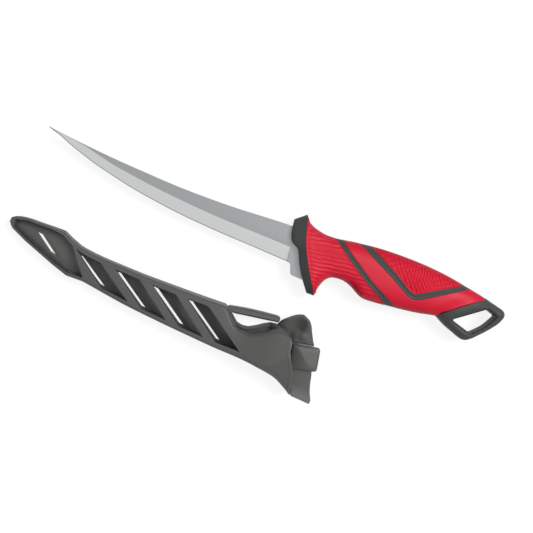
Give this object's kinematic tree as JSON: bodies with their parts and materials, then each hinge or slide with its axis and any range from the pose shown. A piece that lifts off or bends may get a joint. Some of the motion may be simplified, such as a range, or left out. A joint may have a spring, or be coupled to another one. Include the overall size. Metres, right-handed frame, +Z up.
{
  "type": "fillet knife",
  "caption": "Fillet knife with a slim curved blade, black and red rubber grip and lanyard opening, lying beside its windowed belt sheath.",
  "frame": {"origin": "middle of the pair's footprint, on the surface that both lie on", "axes": "+X from the blade's tip to the pommel, +Y from the cutting edge to the back of the blade, +Z up from the surface"},
  "size_m": [0.2882, 0.105, 0.027],
  "materials": {
    "blade_steel": "satin stainless steel with a finely ground bevel",
    "core_nylon": "matte black glass-filled nylon",
    "grip_rubber": "red moulded rubber with ribs and a diamond texture",
    "sheath_plastic": "dark grey moulded polypropylene, fine matte grain"
  },
  "bodies": {
    "knife": {"blade": "blade_steel", "handle_core": "core_nylon", "front_grip": "grip_rubber", "middle_grip": "grip_rubber", "rear_grip": "grip_rubber"},
    "sheath": {"sheath_front": "sheath_plastic", "sheath_back": "sheath_plastic"},
    "clip_arm": {"belt_clip": "sheath_plastic"},
    "latch_tongue": {"thumb_latch": "sheath_plastic"}
  },
  "joints": [
    {"name": "sheath_lift", "type": "slide", "parent": "knife", "child": "sheath", "axis": [0, 0, 1], "range_m": [0, 0.08]},
    {"name": "clip_flex", "type": "hinge", "parent": "sheath", "child": "clip_arm", "pos_m": [-0.00357, -0.01923, 0.0075], "axis": [0, 0, 1], "range_deg": [0, 8], "stiffness_Nm_per_rad": 0.5},
    {"name": "latch_flex", "type": "hinge", "parent": "sheath", "child": "latch_tongue", "pos_m": [0.03698, -0.02923, 0.0012], "axis": [0, 1, 0], "range_deg": [0, 4], "stiffness_Nm_per_rad": 0.5}
  ]
}
